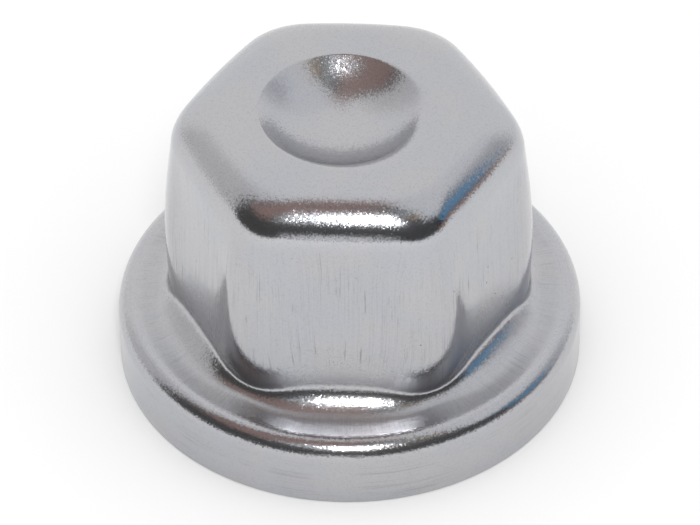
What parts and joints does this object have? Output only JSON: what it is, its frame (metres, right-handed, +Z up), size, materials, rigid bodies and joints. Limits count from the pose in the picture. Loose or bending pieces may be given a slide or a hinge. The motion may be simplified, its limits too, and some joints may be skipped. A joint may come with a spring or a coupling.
{
  "type": "locking wheel nut cover",
  "caption": "Drawn stainless steel cover for a locking wheel nut: a rounded hexagon cup with a dimpled top, a cove, a coned flange and an upright round rim.",
  "frame": {"origin": "centre of the rim's foot, on the surface that the cover stands on", "axes": "+Z up through the flat top, +X through a corner of the hexagon, -Y out of the flat that faces the picture"},
  "size_m": [0.0376, 0.0374, 0.025],
  "materials": {
    "steel": "satin stainless steel with a fine speckled grain, upright draw marks and small scuffs"
  },
  "bodies": {
    "root": {"nut_cover": "steel"}
  },
  "joints": []
}
